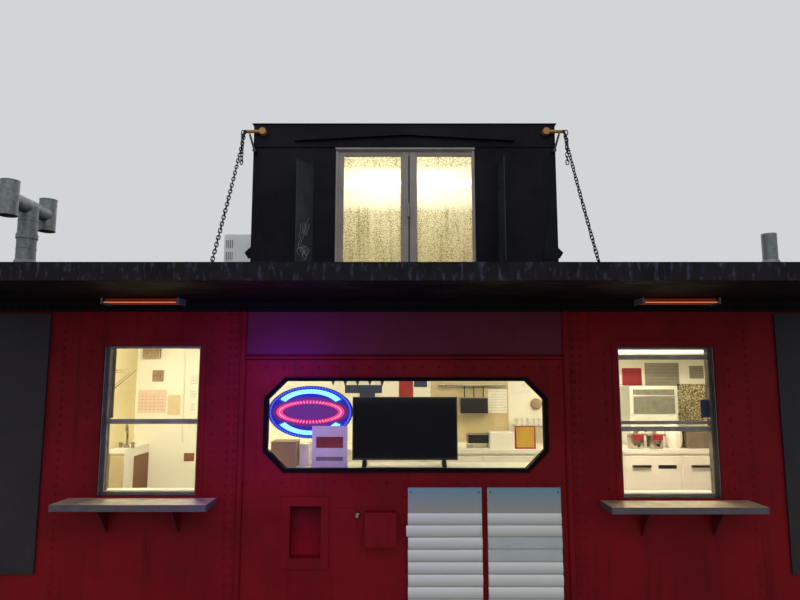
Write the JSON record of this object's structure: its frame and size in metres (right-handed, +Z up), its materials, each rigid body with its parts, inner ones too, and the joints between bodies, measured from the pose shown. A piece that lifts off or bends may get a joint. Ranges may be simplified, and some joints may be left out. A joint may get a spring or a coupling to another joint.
{
  "type": "steel cupola caboose converted to a serving stand",
  "caption": "Riveted steel rail caboose with a centre cupola, end platforms and swivelling trucks, fitted out as a serving stand with picture window, awning, shelves and boards.",
  "frame": {"origin": "middle of the car between the rails, at the height of the wheel flange tips", "axes": "+X along the car to the right as seen from the serving side, -Y out of the serving side, +Z up"},
  "size_m": [10.6988, 4.17, 4.3898],
  "materials": {
    "red_paint": "old enamel, semi-gloss, stained",
    "black_paint": "matt, dusty",
    "weathered_sheet": "matt with pale run-off streaks",
    "yellow_paint": "chipped gloss",
    "chain_steel": "rusty galvanised chain",
    "lamp_housing": "warm reflector",
    "shelf_metal": "pale grey, worn",
    "aluminium_frame": "mill finish",
    "grey_frame": "satin",
    "clear_glass": "clear",
    "fogged_glass": "fogged with droplets",
    "gasket_rubber": "matt",
    "white_board": "smooth",
    "black_board": "smooth",
    "white_laminate": "satin",
    "light_diffuser": "glowing",
    "black_plastic": "gloss",
    "sign_face": "glowing",
    "galvanised": "weathered zinc with rust",
    "white_enamel": "satin",
    "black_iron": "painted",
    "black_steel": "dusty matt",
    "cast_steel": "rough, rusty brown",
    "spring_steel": "rusty",
    "wheel_steel": "rusty web, worn tread",
    "deck_steel": "worn non-slip paint"
  },
  "bodies": {
    "carbody": {"awning": "weathered_sheet", "awning_chains": "chain_steel", "brake_wheel": "black_iron", "cabin_glass": "clear_glass", "ceiling_lights": "light_diffuser", "chain_brackets": "yellow_paint", "counters": "white_laminate", "couplers": "cast_steel", "cupola_ends": "black_paint", "cupola_frames": "grey_frame", "cupola_front": "black_paint", "cupola_glass": "fogged_glass", "cupola_rear": "black_paint", "cupola_roof": "black_paint", "end_railings": "yellow_paint", "end_wall_left": "red_paint", "end_wall_right": "red_paint", "flavour_boards": "white_board", "floor_deck": "deck_steel", "front_centre": "red_paint", "front_left": "red_paint", "front_right": "red_paint", "heat_lamps": "lamp_housing", "light_sign": "sign_face", "menu_boards": "black_board", "partition": "white_laminate", "picture_gasket": "gasket_rubber", "rear_centre": "red_paint", "rear_left": "red_paint", "rear_right": "red_paint", "roof_air_conditioner": "white_enamel", "roof_left": "black_paint", "roof_right": "black_paint", "roof_stacks": "galvanised", "seam_strips": "red_paint", "serving_frames": "aluminium_frame", "serving_shelves": "shelf_metal", "side_window_frames": "aluminium_frame", "steps": "black_steel", "television": "black_plastic", "underfloor_boxes": "black_steel", "underframe": "black_steel", "wind_vanes": "black_paint"},
    "door_left": {"end_door_left": "red_paint", "door_pane_left": "clear_glass"},
    "door_right": {"end_door_right": "red_paint", "door_pane_right": "clear_glass"},
    "truck_left": {"side_frames_left": "cast_steel", "truck_bolster_left": "cast_steel", "springs_left": "spring_steel", "brake_beams_left": "cast_steel"},
    "wheels_left_inner": {"wheelset_left_inner": "wheel_steel"},
    "wheels_left_outer": {"wheelset_left_outer": "wheel_steel"},
    "truck_right": {"side_frames_right": "cast_steel", "truck_bolster_right": "cast_steel", "springs_right": "spring_steel", "brake_beams_right": "cast_steel"},
    "wheels_right_inner": {"wheelset_right_inner": "wheel_steel"},
    "wheels_right_outer": {"wheelset_right_outer": "wheel_steel"}
  },
  "joints": [
    {"name": "truck_left_swivel", "type": "hinge", "parent": "carbody", "child": "truck_left", "pos_m": [-2.95, 0, 0.691], "axis": [0, 0, 1], "range_deg": [-6, 6]},
    {"name": "wheels_left_inner_roll", "type": "hinge", "parent": "truck_left", "child": "wheels_left_inner", "pos_m": [-2.112, 0, 0.446], "axis": [0, 1, 0], "continuous": true},
    {"name": "wheels_left_outer_roll", "type": "hinge", "parent": "truck_left", "child": "wheels_left_outer", "pos_m": [-3.788, 0, 0.446], "axis": [0, 1, 0], "continuous": true},
    {"name": "door_left_swing", "type": "hinge", "parent": "carbody", "child": "door_left", "pos_m": [-3.862, -0.38, 2.1], "axis": [0, 0, -1], "range_deg": [0, 100]},
    {"name": "truck_right_swivel", "type": "hinge", "parent": "carbody", "child": "truck_right", "pos_m": [2.95, 0, 0.691], "axis": [0, 0, 1], "range_deg": [-6, 6]},
    {"name": "wheels_right_inner_roll", "type": "hinge", "parent": "truck_right", "child": "wheels_right_inner", "pos_m": [2.112, 0, 0.446], "axis": [0, 1, 0], "continuous": true},
    {"name": "wheels_right_outer_roll", "type": "hinge", "parent": "truck_right", "child": "wheels_right_outer", "pos_m": [3.788, 0, 0.446], "axis": [0, 1, 0], "continuous": true},
    {"name": "door_right_swing", "type": "hinge", "parent": "carbody", "child": "door_right", "pos_m": [3.862, -0.38, 2.1], "axis": [0, 0, 1], "range_deg": [0, 100]}
  ]
}
